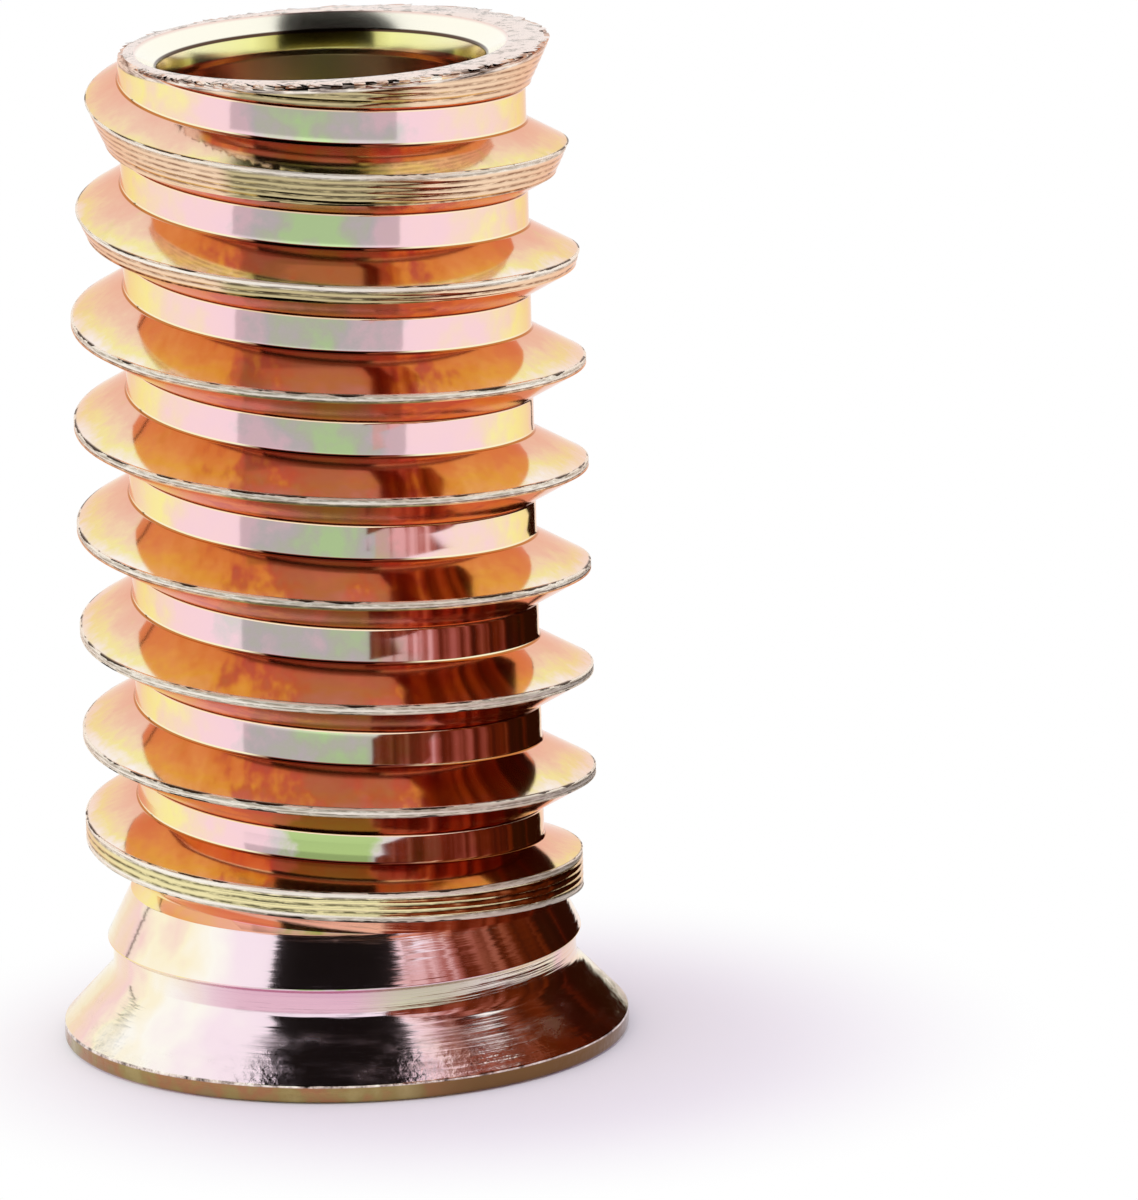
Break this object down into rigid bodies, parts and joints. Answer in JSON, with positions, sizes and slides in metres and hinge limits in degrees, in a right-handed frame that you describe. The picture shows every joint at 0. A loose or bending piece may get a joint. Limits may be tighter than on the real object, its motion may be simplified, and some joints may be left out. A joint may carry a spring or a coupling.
{
  "type": "threaded insert",
  "caption": "Flanged threaded insert with a hexagon socket: screws into wood by its coarse outer thread and takes a machine screw in its bore.",
  "frame": {"origin": "centre of the flange face, where the insert stands", "axes": "+Z along the bore from the flange face to the tip; two corners of the hexagon socket lie on the Y axis; the thread leaves the tip face on the +X side"},
  "size_m": [0.0142, 0.0142, 0.0255],
  "materials": {
    "zinc_yellow": "bright zinc plate with yellow iridescent passivation on turned steel"
  },
  "bodies": {
    "root": {"threaded_insert": "zinc_yellow"}
  },
  "joints": []
}
